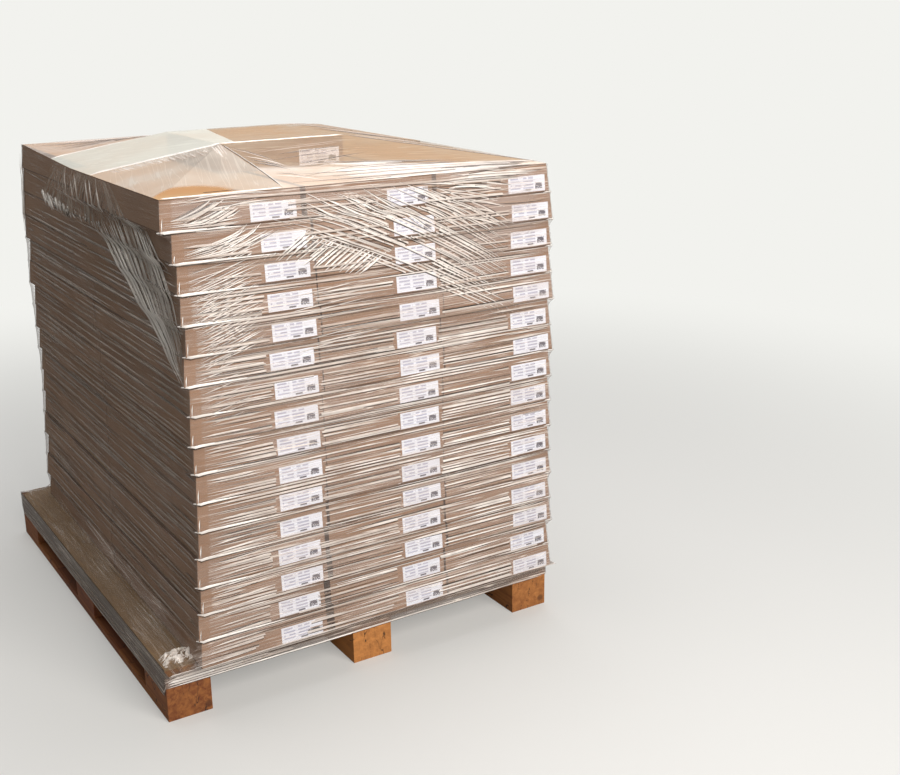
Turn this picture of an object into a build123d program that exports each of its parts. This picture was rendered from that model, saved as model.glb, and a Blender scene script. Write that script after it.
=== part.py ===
from build123d import *
import os
from math import atan2, degrees, sin

os.makedirs("parts", exist_ok=True)

# A four-way block pallet with flat cartons stacked in sixteen layers, one loose carton on top,
# and stretch film round the sides and over the top. Millimetres, +Z up.
# The origin is the middle of the pallet's footprint on the floor, and the front faces -Y.

# wooden pallet
board_thick = 15.0
runner_width = 100.0
block_length = 145.0
block_height = 78.0
rows_of_blocks = 3
deck_board_width = 100.0
deck_board_count = 7

# corrugated slip sheet on the deck
sheet_thick = 3.0
sheet_corner_radius = 45.0

# one carton
carton_width = 297.0
carton_length = 590.0
carton_height = 62.2
wall_lean = 5.0
slot_length = 78.0
slot_width = 7.0
slot_depth = 3.0
slot_setback = 42.0

# how the cartons are stacked
column_count = 3
row_count = 2
layer_count = 16
column_gap = 2.5
row_gap = 4.0

# where the stack stands on the pallet, measured from the pallet's edges
stack_left_inset = 85.0
stack_right_inset = 19.0
stack_front_overhang = 38.0
stack_back_inset = 54.0

# the top layers have crept to the left and the bottom ones have spread a little
creep_first_layer = 11
creep_at_top = 26.0
creep_power = 3.5
creep_share = [1.0, 0.6, 0.35]
rear_creep_share = -0.5
spread_layers = 5
spread_at_floor = 18.0
spread_share = [-1.0, 0.0, 0.25]
layer_unevenness = 3.0
carton_unevenness = 0.8

# loose carton on the top layer, about half as long as the others
loose_length = 330.0
loose_x = -197.0
loose_y = -350.0

# paper label on the right of each carton end that faces the front
label_width = 100.0
label_height = 36.0
label_thick = 0.2
label_margin = 11.0
label_rise = 3.0

# stretch film
film_thick = 0.5
film_clear = 0.3
film_foot_rise = 8.0
film_tuck = 20.0
film_hem_sides = 64.0
film_hem_ends = 80.0

# sizes that follow from the ones above
stack_width = column_count * carton_width + (column_count - 1) * column_gap
stack_depth = row_count * carton_length + (row_count - 1) * row_gap
pallet_width = stack_left_inset + stack_width + stack_right_inset
pallet_depth = stack_depth - stack_front_overhang + stack_back_inset
block_floor = board_thick
stringer_floor = block_floor + block_height
deck_floor = stringer_floor + board_thick
sheet_floor = deck_floor + board_thick
stack_floor = sheet_floor + sheet_thick
stack_top = stack_floor + layer_count * carton_height
stack_left = stack_left_inset - pallet_width / 2
stack_front = -pallet_depth / 2 - stack_front_overhang

# slack that lets one solid be cut cleanly out of another
cut_slack = 2.0


def block(x0, x1, y0, y1, z0, z1):
    """A squared piece between two opposite corners."""
    middle = ((x0 + x1) / 2, (y0 + y1) / 2, (z0 + z1) / 2)
    return Pos(*middle) * Box(x1 - x0, y1 - y0, z1 - z0)


def evenly(count, length, width):
    """Low edges of `count` strips of `width`, spread evenly over `length` about the middle."""
    step = (length - width) / (count - 1)
    return [-length / 2 + number * step for number in range(count)]


def flat_sided(sections):
    """A solid with flat faces through rectangles (x0, x1, y0, y1, z), lowest first."""
    rings = []
    for x0, x1, y0, y1, z in sections:
        rings.append([Vector(x0, y0, z), Vector(x1, y0, z), Vector(x1, y1, z), Vector(x0, y1, z)])
    faces = [face_through(rings[0]), face_through(rings[-1])]
    for low, high in zip(rings, rings[1:]):
        for corner in range(4):
            following = (corner + 1) % 4
            faces.append(face_through([low[corner], low[following], high[following], high[corner]]))
    return Solid(Shell(faces))


def face_through(corners):
    """A flat face with these corners."""
    return Face(Wire.make_polygon(corners, close=True))


def grown(outline, amount):
    """The rectangle (x0, x1, y0, y1) pushed out by `amount` on every side."""
    x0, x1, y0, y1 = outline
    return (x0 - amount, x1 + amount, y0 - amount, y1 + amount)


def carton_corner(layer, column, row):
    """Front left corner of a carton's base, for layers counted from 1 at the bottom."""
    climbed = max(0.0, (layer - creep_first_layer) / (layer_count - creep_first_layer))
    share = creep_share[column] if row == 0 else rear_creep_share
    creep = creep_at_top * climbed ** creep_power * share
    spread = spread_at_floor * max(0.0, 1 - (layer - 1) / spread_layers) * spread_share[column]
    uneven_x = layer_unevenness * sin(2.7 * layer) + carton_unevenness * sin(7.3 * layer + 1.9 * column)
    uneven_y = layer_unevenness * sin(4.1 * layer) + carton_unevenness * sin(5.1 * layer + 2.3 * column)
    x = stack_left + column * (carton_width + column_gap) - creep + spread + uneven_x
    y = stack_front + row * (carton_length + row_gap) + uneven_y
    return x, y


def carton(x, y, z, length, lean_left, lean_right, lean_front, lean_back):
    """A closed carton whose free walls lean in towards the top, with the slot of its tuck-in lid."""
    body = flat_sided([
        (x, x + carton_width, y, y + length, z),
        (x + lean_left, x + carton_width - lean_right, y + lean_front,
         y + length - lean_back, z + carton_height),
    ])
    slot_x = x + (carton_width - slot_length) / 2
    slot_y = y + slot_setback
    top = z + carton_height
    slot = block(slot_x, slot_x + slot_length, slot_y, slot_y + slot_width,
                 top - slot_depth, top + cut_slack)
    return body - slot


def leans(column, row):
    """Which walls of a stacked carton are free, and so lean in: left, right, front, back."""
    return (
        wall_lean if column == 0 else 0.0,
        wall_lean if column == column_count - 1 else 0.0,
        wall_lean if row == 0 else 0.0,
        wall_lean if row == row_count - 1 else 0.0,
    )


def carton_layer(layer):
    """All the cartons of one layer, side by side with their gaps."""
    z = stack_floor + (layer - 1) * carton_height
    cartons = []
    for row in range(row_count):
        for column in range(column_count):
            x, y = carton_corner(layer, column, row)
            cartons.append(carton(x, y, z, carton_length, *leans(column, row)))
    return Compound(cartons)


def base_outline(layer):
    """The rectangle round the bases of one layer's cartons."""
    corners = [carton_corner(layer, column, row)
               for column in range(column_count) for row in range(row_count)]
    return (
        min(x for x, y in corners),
        max(x for x, y in corners) + carton_width,
        min(y for x, y in corners),
        max(y for x, y in corners) + carton_length,
    )


def joint_outline(joint):
    """The rectangle that the film goes round at a joint: the wider of the layers above and below."""
    outlines = []
    if joint < layer_count:
        outlines.append(base_outline(joint + 1))
    if joint > 0:
        outlines.append(grown(base_outline(joint), -wall_lean))
    return (
        min(outline[0] for outline in outlines),
        max(outline[1] for outline in outlines),
        min(outline[2] for outline in outlines),
        max(outline[3] for outline in outlines),
    )


def label_on(x, y, z, lean_front):
    """A paper label flat on a carton's front wall, near its right edge."""
    right = x + carton_width - label_margin
    paper = block(right - label_width, right, y - label_thick, y,
                  z + label_rise, z + label_rise + label_height)
    tilt = -degrees(atan2(lean_front, carton_height))
    return paper.rotate(Axis((x, y, z), (1, 0, 0)), tilt)


def side_skin(outset, raised):
    """The solid inside the wrapped sides: hem, fold under the overhang, slope to the walls, walls."""
    reach = film_clear + outset
    half_width = pallet_width / 2 + reach
    half_depth = pallet_depth / 2 + reach
    stack_x0, stack_x1, stack_y0, stack_y1 = grown(joint_outline(0), reach)
    front = min(stack_y0, -half_depth)
    back = max(stack_y1, half_depth)
    on_sheet = stack_floor + 2 * film_clear + raised
    sections = [
        (-half_width, half_width, -half_depth, half_depth, film_hem_sides),
        (-half_width, half_width, -half_depth, half_depth, stack_floor - film_tuck),
        (-half_width, half_width, front, back, stack_floor - 2 * film_clear),
        (-half_width, half_width, front, back, on_sheet),
        (stack_x0, stack_x1, stack_y0, stack_y1, stack_floor + film_foot_rise + raised),
    ]
    for joint in range(1, layer_count):
        x0, x1, y0, y1 = grown(joint_outline(joint), reach)
        sections.append((x0, x1, y0, y1, stack_floor + joint * carton_height))
    x0, x1, y0, y1 = grown(joint_outline(layer_count), reach)
    sections.append((x0, x1, y0, y1, stack_top + film_clear))
    return sections


def moved_end(sections, place, amount):
    """The same sections with the first or the last one moved up or down."""
    x0, x1, y0, y1, z = sections[place]
    changed = list(sections)
    changed[place] = (x0, x1, y0, y1, z + amount)
    return changed


def side_film():
    """The film wound round the stack and the pallet's deck."""
    inside = moved_end(moved_end(side_skin(0.0, 0.0), 0, -cut_slack), -1, cut_slack)
    film = flat_sided(side_skin(film_thick, film_thick)) - flat_sided(inside)
    half_width = pallet_width / 2 + film_clear + film_thick + cut_slack
    end = pallet_depth / 2
    for side in (-1, 1):
        y0, y1 = sorted((side * (end - cut_slack), side * (end + film_clear + film_thick + cut_slack)))
        film -= block(-half_width, half_width, y0, y1, film_hem_sides - cut_slack, film_hem_ends)
    return film


def top_skin(outset):
    """The solid under the film on top: a tent from the top layer's edges over the loose carton."""
    reach = film_clear + outset
    rim = stack_top + film_clear
    loose = (loose_x, loose_x + carton_width, loose_y, loose_y + loose_length)
    edge = grown(joint_outline(layer_count), reach)
    cover = grown(loose, reach)
    return [
        (*edge, rim),
        (*edge, rim + outset),
        (*cover, rim + carton_height + outset),
    ]


def top_film():
    """The film drawn over the top layer and the loose carton."""
    outside = top_skin(film_thick)
    inside = top_skin(0.0)
    del inside[1]
    return flat_sided(outside) - flat_sided(moved_end(inside, 0, -cut_slack))


def pallet_parts():
    """The pallet's boards and blocks, each set as separate solids."""
    half_depth = pallet_depth / 2
    half_width = pallet_width / 2
    runners = evenly(3, pallet_width, runner_width)
    cross_rows = evenly(rows_of_blocks, pallet_depth, block_length)
    bottom = [block(x, x + runner_width, -half_depth, half_depth, 0, board_thick) for x in runners]
    blocks = [block(x, x + runner_width, y, y + block_length, block_floor, stringer_floor)
              for x in runners for y in cross_rows]
    stringers = [block(-half_width, half_width, y, y + block_length, stringer_floor, deck_floor)
                 for y in cross_rows]
    deck = [block(x, x + deck_board_width, -half_depth, half_depth, deck_floor, sheet_floor)
            for x in evenly(deck_board_count, pallet_width, deck_board_width)]
    return {"bottom_boards": bottom, "pallet_blocks": blocks,
            "stringer_boards": stringers, "deck_boards": deck}


def slip_sheet():
    """One flat sheet over the whole deck, with its rear left corner rounded off."""
    sheet = block(-pallet_width / 2, pallet_width / 2, -pallet_depth / 2, pallet_depth / 2,
                  sheet_floor, stack_floor)
    corner = sheet.edges().filter_by(Axis.Z).sort_by(lambda edge: edge.center().X - edge.center().Y)[0]
    return fillet(corner, sheet_corner_radius)


def labels():
    """The labels on the front row of every layer and on the loose carton."""
    papers = []
    for layer in range(1, layer_count + 1):
        z = stack_floor + (layer - 1) * carton_height
        for column in range(column_count):
            x, y = carton_corner(layer, column, 0)
            papers.append(label_on(x, y, z, wall_lean))
    papers.append(label_on(loose_x, loose_y, stack_top, 0.0))
    return Compound(papers)


nodes = {name: Compound(pieces) for name, pieces in pallet_parts().items()}
nodes["slip_sheet"] = slip_sheet()
for layer in range(1, layer_count + 1):
    nodes["carton_layer_%02d" % layer] = carton_layer(layer)
nodes["loose_carton"] = carton(loose_x, loose_y, stack_top, loose_length, 0.0, 0.0, 0.0, 0.0)
nodes["carton_labels"] = labels()
nodes["side_film"] = side_film()
nodes["top_film"] = top_film()

for name, shape in nodes.items():
    export_step(shape, "parts/%s.step" % name)
    print(name, len(shape.solids()), "solids", round(shape.volume / 1e6, 4), "litres")
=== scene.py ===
import bpy
import numpy as np
from math import radians
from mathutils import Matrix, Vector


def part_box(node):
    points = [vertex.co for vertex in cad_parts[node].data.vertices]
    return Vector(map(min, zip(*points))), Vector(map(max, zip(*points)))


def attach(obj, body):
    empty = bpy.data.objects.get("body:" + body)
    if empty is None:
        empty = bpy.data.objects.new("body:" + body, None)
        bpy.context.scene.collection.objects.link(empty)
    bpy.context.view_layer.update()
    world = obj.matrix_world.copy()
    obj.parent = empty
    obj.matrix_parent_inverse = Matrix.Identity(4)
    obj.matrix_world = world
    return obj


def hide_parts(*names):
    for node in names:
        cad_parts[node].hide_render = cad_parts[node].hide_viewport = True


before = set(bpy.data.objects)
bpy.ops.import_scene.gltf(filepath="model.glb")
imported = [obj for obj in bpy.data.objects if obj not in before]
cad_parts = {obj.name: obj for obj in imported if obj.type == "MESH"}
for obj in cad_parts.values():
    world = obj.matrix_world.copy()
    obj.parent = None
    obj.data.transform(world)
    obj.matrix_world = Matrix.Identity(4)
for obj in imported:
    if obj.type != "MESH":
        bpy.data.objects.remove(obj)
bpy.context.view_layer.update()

layerCount = 16
layerBoxes = [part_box("carton_layer_%02d" % layer) for layer in range(1, layerCount + 1)]
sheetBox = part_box("slip_sheet")
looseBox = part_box("loose_carton")
stackFloor = layerBoxes[0][0][2]
stackTop = layerBoxes[-1][1][2]
cartonHeight = (stackTop - stackFloor) / layerCount
wallLean = 0.005  # how far a free wall leans in from bottom to top


# ---- small helpers: colours, nodes, noise, meshes

def linearColour(hexCode):  # sRGB hex to the linear colour that a socket takes
    parts = [int(hexCode[place:place + 2], 16) / 255 for place in (1, 3, 5)]
    return tuple(part / 12.92 if part <= 0.04045 else ((part + 0.055) / 1.055) ** 2.4 for part in parts) + (1.0,)


def addNode(material, kind, settings=None, inputs=None):  # one node with its settings and links
    tree = material.node_tree
    node = tree.nodes.new(kind)
    for name, value in (settings or {}).items():
        setattr(node, name, value)
    for name, value in (inputs or {}).items():
        if isinstance(value, bpy.types.NodeSocket):
            tree.links.new(value, node.inputs[name])
        else:
            node.inputs[name].default_value = value
    return node


def newMaterial(name):
    material = bpy.data.materials.new(name)
    material.use_nodes = True
    material.node_tree.nodes.clear()
    return material


def finishMaterial(material, shader):
    addNode(material, "ShaderNodeOutputMaterial", inputs={"Surface": shader})
    return material


def gridNoise(u, v, seed):  # smooth noise from -1 to 1, the same on every run
    def corner(i, j):
        value = np.sin(i * 127.1 + j * 311.7 + seed * 74.7) * 43758.5453
        return value - np.floor(value)
    i, j = np.floor(u), np.floor(v)
    a, b = u - i, v - j
    a, b = a * a * (3 - 2 * a), b * b * (3 - 2 * b)
    low = corner(i, j) * (1 - a) + corner(i + 1, j) * a
    high = corner(i, j + 1) * (1 - a) + corner(i + 1, j + 1) * a
    return 2 * (low * (1 - b) + high * b) - 1


def smoothStep(value, start, end):  # 0 before start, 1 after end
    part = np.clip((value - start) / (end - start), 0, 1)
    return part * part * (3 - 2 * part)


def gridMesh(name, points, uv, closed=False, material=None, keep=None):
    """rows x columns of points, with one u, v pair each"""
    rows, columns = points.shape[:2]
    vertexColumns = columns - 1 if closed else columns
    vertices = points[:, :vertexColumns].reshape(-1, 3)
    r, c = np.meshgrid(np.arange(rows - 1), np.arange(columns - 1), indexing="ij")
    r, c = r.ravel(), c.ravel()
    if keep is not None:
        kept = keep[r, c]
        r, c = r[kept], c[kept]
    following = (c + 1) % vertexColumns if closed else c + 1
    faces = np.stack([r * vertexColumns + c, r * vertexColumns + following,
                      (r + 1) * vertexColumns + following, (r + 1) * vertexColumns + c], axis=1)
    mesh = bpy.data.meshes.new(name)
    mesh.from_pydata(vertices.tolist(), [], faces.tolist())
    layer = mesh.uv_layers.new(name="UVMap")
    corners = np.stack([uv[r, c], uv[r, c + 1], uv[r + 1, c + 1], uv[r + 1, c]], axis=1)
    layer.data.foreach_set("uv", corners.reshape(-1).astype(np.float32))
    mesh.polygons.foreach_set("use_smooth", np.ones(len(faces), dtype=bool))
    if material:
        mesh.materials.append(material)
    piece = bpy.data.objects.new(name, mesh)
    bpy.context.collection.objects.link(piece)
    return piece


# ---- camera, lamps, floor

view = {
    "place": (-1.20676, -2.88065, 1.47019),
    "turn": (72.592, 0.672, -32.296),
    "lens": 49.156,
    "sensor": 36.0,
}
cameraData = bpy.data.cameras.new("photoCamera")
cameraData.sensor_fit = "HORIZONTAL"
cameraData.sensor_width = view["sensor"]
cameraData.lens = view["lens"]
camera = bpy.data.objects.new("photoCamera", cameraData)
camera.location = view["place"]
camera.rotation_euler = [radians(angle) for angle in view["turn"]]
bpy.context.collection.objects.link(camera)
bpy.context.scene.camera = camera
bpy.context.scene.view_settings.view_transform = "Standard"

lamps = {
    "windowFront": {"place": (0.3, -4.0, 2.5), "aim": (0.0, -0.5, 0.6), "size": (2.8, 2.6), "watts": 180, "colour": "#fffaf6"},
    "windowRear": {"place": (-2.4, 3.2, 1.3), "aim": (-0.4, 0.0, 0.7), "size": (1.0, 1.0), "watts": 9, "colour": "#fff4e6"},
    "skyAbove": {"place": (0.3, 0.2, 4.2), "aim": (0.0, 0.0, 0.8), "size": (3.0, 3.0), "watts": 102, "colour": "#fdfcff"},
}


def addLamp(name, lamp):
    from mathutils import Vector
    light = bpy.data.lights.new(name, "AREA")
    light.shape = "RECTANGLE"
    light.size, light.size_y = lamp["size"]
    light.energy = lamp["watts"]
    light.color = linearColour(lamp["colour"])[:3]
    item = bpy.data.objects.new(name, light)
    item.location = lamp["place"]
    item.visible_camera = False
    item.rotation_euler = (Vector(lamp["aim"]) - Vector(lamp["place"])).to_track_quat("-Z", "Y").to_euler()
    bpy.context.collection.objects.link(item)


for lampName, lamp in lamps.items():
    addLamp(lampName, lamp)

world = bpy.data.worlds.new("studio")
bpy.context.scene.world = world
world.use_nodes = True
world.node_tree.nodes.clear()
paths = addNode(world, "ShaderNodeLightPath")
seen = addNode(world, "ShaderNodeMath", {"operation": "MAXIMUM"},
               {0: paths.outputs["Is Camera Ray"], 1: paths.outputs["Is Transmission Ray"]})
seenOrShiny = addNode(world, "ShaderNodeMath", {"operation": "MAXIMUM"},
                      {0: seen.outputs[0], 1: paths.outputs["Is Glossy Ray"]})
fill = addNode(world, "ShaderNodeBackground", inputs={"Color": linearColour("#f4ece2"), "Strength": 0.045})
backdrop = addNode(world, "ShaderNodeBackground", inputs={"Color": linearColour("#f2f2ee"), "Strength": 1.0})
worldMix = addNode(world, "ShaderNodeMixShader", inputs={0: seenOrShiny.outputs[0], 1: fill.outputs[0], 2: backdrop.outputs[0]})
addNode(world, "ShaderNodeOutputWorld", inputs={"Surface": worldMix.outputs[0]})


def studioFloor():
    material = newMaterial("paleFloorPaint")  # matt pale paint: a third of what the camera sees is its own colour, the rest is lit
    seenFloor = addNode(material, "ShaderNodeLightPath")
    tint = addNode(material, "ShaderNodeMix", {"data_type": "RGBA"},
                   {0: seenFloor.outputs["Is Camera Ray"], 6: linearColour("#a2a29f"), 7: linearColour("#dededb")})
    paint = addNode(material, "ShaderNodeBsdfPrincipled", inputs={"Base Color": tint.outputs[2], "Roughness": 0.7})
    glow = addNode(material, "ShaderNodeEmission", inputs={"Color": linearColour("#f2f2ee"), "Strength": 1.0})
    place = addNode(material, "ShaderNodeTexCoord").outputs["Object"]
    distance = addNode(material, "ShaderNodeVectorMath", {"operation": "LENGTH"}, {0: place})
    far = addNode(material, "ShaderNodeMapRange", {"interpolation_type": "SMOOTHSTEP"},
                  {"Value": distance.outputs["Value"], "From Min": 0.8, "From Max": 3.6, "To Min": 0.30, "To Max": 1.0})
    seenPart = addNode(material, "ShaderNodeMath", {"operation": "MULTIPLY"},
                       {0: seenFloor.outputs["Is Camera Ray"], 1: far.outputs[0]})
    mixed = addNode(material, "ShaderNodeMixShader", inputs={0: seenPart.outputs[0], 1: paint.outputs[0], 2: glow.outputs[0]})
    finishMaterial(material, mixed.outputs[0])
    points = np.array([[(-60, -60, 0), (60, -60, 0)], [(-60, 60, 0), (60, 60, 0)]], dtype=float)
    uv = points[:, :, :2].copy()
    floor = gridMesh("studioFloor", points, uv, material=material)
    floor.location.z = -0.0005


studioFloor()
print("camera, lamps and floor made")


# ---- carton board: kraft paper on fluted board

def kraftBoard():
    material = newMaterial("kraftBoardPressed")  # brown kraft liner: matt, faint fibres along the machine direction
    place = addNode(material, "ShaderNodeTexCoord").outputs["Object"]
    fibre = addNode(material, "ShaderNodeMapping", inputs={"Vector": place, "Scale": (60, 400, 400)})
    fibreNoise = addNode(material, "ShaderNodeTexNoise", inputs={"Vector": fibre.outputs[0], "Scale": 1.0, "Detail": 3.0})
    cloud = addNode(material, "ShaderNodeTexNoise", inputs={"Vector": place, "Scale": 9.0, "Detail": 4.0})
    tone = addNode(material, "ShaderNodeMath", {"operation": "MULTIPLY_ADD"},
                   {0: fibreNoise.outputs["Fac"], 1: 0.35, 2: 0.0})
    toneSum = addNode(material, "ShaderNodeMath", {"operation": "MULTIPLY_ADD"},
                      {0: cloud.outputs["Fac"], 1: 0.65, 2: tone.outputs[0]})
    colour = addNode(material, "ShaderNodeMix", {"data_type": "RGBA"},
                     {0: toneSum.outputs[0], 6: linearColour("#765a47"), 7: linearColour("#a9866b")})
    facing = addNode(material, "ShaderNodeSeparateXYZ", inputs={0: addNode(material, "ShaderNodeNewGeometry").outputs["True Normal"]})
    paintedLightLid = addNode(material, "ShaderNodeMath", {"operation": "GREATER_THAN"}, {0: facing.outputs[2], 1: 0.995})
    height = addNode(material, "ShaderNodeSeparateXYZ", inputs={0: place}).outputs[2]
    atTop = addNode(material, "ShaderNodeMath", {"operation": "GREATER_THAN"}, {0: height, 1: stackTop - 0.01})
    paintedLightLid = addNode(material, "ShaderNodeMath", {"operation": "MULTIPLY"}, {0: paintedLightLid.outputs[0], 1: atTop.outputs[0]})  # painted light from above: the lids, the top faces of the top layer, are painted lighter and yellower
    colour = addNode(material, "ShaderNodeMix", {"data_type": "RGBA"},
                     {0: paintedLightLid.outputs[0], 6: colour.outputs[2],
                      7: addNode(material, "ShaderNodeMix", {"data_type": "RGBA"},
                                 {0: toneSum.outputs[0], 6: linearColour("#ab8052"), 7: linearColour("#d2ac7d")}).outputs[2]})
    # painted shade: the board is darkened at the foot and the top of each carton, where the joints between the layers
    # fall in shade, but not on the lids
    share = addNode(material, "ShaderNodeMath", {"operation": "SUBTRACT"}, {0: height, 1: stackFloor})
    share = addNode(material, "ShaderNodeMath", {"operation": "DIVIDE"}, {0: share.outputs[0], 1: cartonHeight})
    share = addNode(material, "ShaderNodeMath", {"operation": "PINGPONG"}, {0: share.outputs[0], 1: 0.5})
    edge = addNode(material, "ShaderNodeMapRange", {"interpolation_type": "SMOOTHSTEP"},
                   {"Value": share.outputs[0], "From Min": 0.012, "From Max": 0.045, "To Min": 0.75, "To Max": 0.0})
    edge = addNode(material, "ShaderNodeMath", {"operation": "MULTIPLY"},
                   {0: edge.outputs[0], 1: addNode(material, "ShaderNodeMath", {"operation": "SUBTRACT"}, {0: 1.0, 1: paintedLightLid.outputs[0]}).outputs[0]})
    paintedJointShade = addNode(material, "ShaderNodeMix", {"data_type": "RGBA"},
                   {0: edge.outputs[0], 6: colour.outputs[2], 7: linearColour("#35241a")})
    bump = addNode(material, "ShaderNodeBump", inputs={"Strength": 0.25, "Distance": 0.0004, "Height": fibreNoise.outputs["Fac"]})
    board = addNode(material, "ShaderNodeBsdfPrincipled",
                    inputs={"Base Color": paintedJointShade.outputs[2], "Roughness": 0.82, "Normal": bump.outputs[0]})
    return finishMaterial(material, board.outputs[0])


def kraftSheet():
    material = newMaterial("kraftSheetPressed")  # solid grey-brown sheet, duller than the cartons
    place = addNode(material, "ShaderNodeTexCoord").outputs["Object"]
    fibre = addNode(material, "ShaderNodeMapping", inputs={"Vector": place, "Scale": (240, 30, 240)})
    fibreNoise = addNode(material, "ShaderNodeTexNoise", inputs={"Vector": fibre.outputs[0], "Scale": 1.0, "Detail": 3.0})
    colour = addNode(material, "ShaderNodeMix", {"data_type": "RGBA"},
                     {0: fibreNoise.outputs["Fac"], 6: linearColour("#5c4730"), 7: linearColour("#927653")})
    bump = addNode(material, "ShaderNodeBump", inputs={"Strength": 0.3, "Distance": 0.0004, "Height": fibreNoise.outputs["Fac"]})
    sheet = addNode(material, "ShaderNodeBsdfPrincipled",
                    inputs={"Base Color": colour.outputs[2], "Roughness": 0.8, "Normal": bump.outputs[0]})
    return finishMaterial(material, sheet.outputs[0])


def dressNode(name, material):
    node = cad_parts[name]
    if not node.material_slots:
        node.data.materials.append(material)
    for item in node.material_slots:
        item.material = material


board = kraftBoard()
for layer in range(1, layerCount + 1):
    dressNode("carton_layer_%02d" % layer, board)
dressNode("loose_carton", board)
print("cartons dressed")


# ---- pallet wood: sawn pine

def sawnPine(name, dark, light, along):
    material = newMaterial(name)  # rough sawn pine: long grain bands, a few knots, no gloss
    place = addNode(material, "ShaderNodeTexCoord").outputs["Object"]
    stretch = {"x": (4, 90, 90), "y": (90, 4, 90)}[along]  # grain lines about 10 mm apart
    grain = addNode(material, "ShaderNodeMapping", inputs={"Vector": place, "Scale": stretch})
    wide = addNode(material, "ShaderNodeTexNoise", inputs={"Vector": grain.outputs[0], "Scale": 1.0, "Detail": 6.0, "Roughness": 0.6, "Distortion": 0.6})
    shifted = addNode(material, "ShaderNodeMapping", inputs={"Vector": place, "Location": (0.225, 0.26, 0.0)})
    block = addNode(material, "ShaderNodeVectorMath", {"operation": "SNAP"}, {0: shifted.outputs[0], 1: (0.45, 0.5275, 0.2)})
    odd = addNode(material, "ShaderNodeTexWhiteNoise", {"noise_dimensions": "3D"}, {"Vector": block.outputs[0]})
    mixed = addNode(material, "ShaderNodeMath", {"operation": "MULTIPLY_ADD"}, {0: odd.outputs["Value"], 1: 0.25, 2: -0.12})
    aside = addNode(material, "ShaderNodeSeparateXYZ", inputs={0: place}).outputs[0]
    paintedLeftShade = addNode(material, "ShaderNodeMapRange", {"interpolation_type": "SMOOTHSTEP"},
                   {"Value": aside, "From Min": -0.34, "From Max": -0.12, "To Min": -0.36, "To Max": 0.06})  # painted shade: the wood is darker towards the left, where the front left corner lies in shade
    mixed = addNode(material, "ShaderNodeMath", {"operation": "ADD"}, {0: mixed.outputs[0], 1: paintedLeftShade.outputs[0]})
    # darker towards the right
    darkerToRight = addNode(material, "ShaderNodeMapRange", {"interpolation_type": "SMOOTHSTEP"},
                   {"Value": aside, "From Min": 0.22, "From Max": 0.36, "To Min": 0.0, "To Max": -0.22})
    mixed = addNode(material, "ShaderNodeMath", {"operation": "ADD"}, {0: mixed.outputs[0], 1: darkerToRight.outputs[0]})
    tone = addNode(material, "ShaderNodeMath", {"operation": "ADD", "use_clamp": True}, {0: wide.outputs["Fac"], 1: mixed.outputs[0]})
    colour = addNode(material, "ShaderNodeMix", {"data_type": "RGBA"}, {0: tone.outputs[0], 6: linearColour(dark), 7: linearColour(light)})
    knots = addNode(material, "ShaderNodeTexVoronoi", inputs={"Vector": place, "Scale": 13.0, "Randomness": 1.0})  # one in about 75 mm
    knot = addNode(material, "ShaderNodeMapRange", {"interpolation_type": "SMOOTHSTEP"},
                   {"Value": knots.outputs["Distance"], "From Min": 0.07, "From Max": 0.15, "To Min": 0.6, "To Max": 0.0})
    colour = addNode(material, "ShaderNodeMix", {"data_type": "RGBA"}, {0: knot.outputs[0], 6: colour.outputs[2], 7: linearColour("#3c1c0b")})
    stain = addNode(material, "ShaderNodeTexNoise", inputs={"Vector": place, "Scale": 22.0, "Detail": 5.0, "Roughness": 0.7})
    dirt = addNode(material, "ShaderNodeMapRange", None,
                   {"Value": stain.outputs["Fac"], "From Min": 0.48, "From Max": 0.72, "To Min": 0.0, "To Max": 0.38})
    colour = addNode(material, "ShaderNodeMix", {"data_type": "RGBA"}, {0: dirt.outputs[0], 6: colour.outputs[2], 7: linearColour("#5a2f16")})
    # drying cracks: short dark lines where drawn out noise crosses its middle value
    drawn = addNode(material, "ShaderNodeMapping", inputs={"Vector": place, "Rotation": (0.0, 0.5, 0.0), "Scale": (38, 12, 11)})
    split = addNode(material, "ShaderNodeTexNoise", inputs={"Vector": drawn.outputs[0], "Scale": 1.0, "Detail": 2.0})
    away = addNode(material, "ShaderNodeMath", {"operation": "ABSOLUTE"},
                   {0: addNode(material, "ShaderNodeMath", {"operation": "SUBTRACT"}, {0: split.outputs["Fac"], 1: 0.5}).outputs[0]})
    crack = addNode(material, "ShaderNodeMapRange", None, {"Value": away.outputs[0], "From Min": 0.004, "From Max": 0.010, "To Min": 0.9, "To Max": 0.0})
    some = addNode(material, "ShaderNodeMapRange", None, {"Value": stain.outputs["Fac"], "From Min": 0.50, "From Max": 0.54, "To Min": 0.0, "To Max": 1.0})
    crack = addNode(material, "ShaderNodeMath", {"operation": "MULTIPLY"}, {0: crack.outputs[0], 1: some.outputs[0]})
    colour = addNode(material, "ShaderNodeMix", {"data_type": "RGBA"}, {0: crack.outputs[0], 6: colour.outputs[2], 7: linearColour("#22120a")})
    bump = addNode(material, "ShaderNodeBump", inputs={"Strength": 0.5, "Distance": 0.001, "Height": wide.outputs["Fac"]})
    pine = addNode(material, "ShaderNodeBsdfPrincipled",
                   inputs={"Base Color": colour.outputs[2], "Roughness": 0.75, "Normal": bump.outputs[0]})
    return finishMaterial(material, pine.outputs[0])


blockPine = sawnPine("sawnPineBlock", "#6a3413", "#d9934e", "y")
boardPine = sawnPine("sawnPineBoard", "#5d3c22", "#b98850", "y")
crossPine = sawnPine("sawnPineCrossBoard", "#5d3c22", "#b98850", "x")
dressNode("pallet_blocks", blockPine)
dressNode("bottom_boards", blockPine)
dressNode("deck_boards", boardPine)
dressNode("stringer_boards", crossPine)
dressNode("slip_sheet", kraftSheet())
print("pallet dressed")


# ---- labels: white coated paper with plain printed marks

labels = {"width": 0.100, "height": 0.036, "margin": 0.011, "rise": 0.003, "thick": 0.0003}


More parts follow.
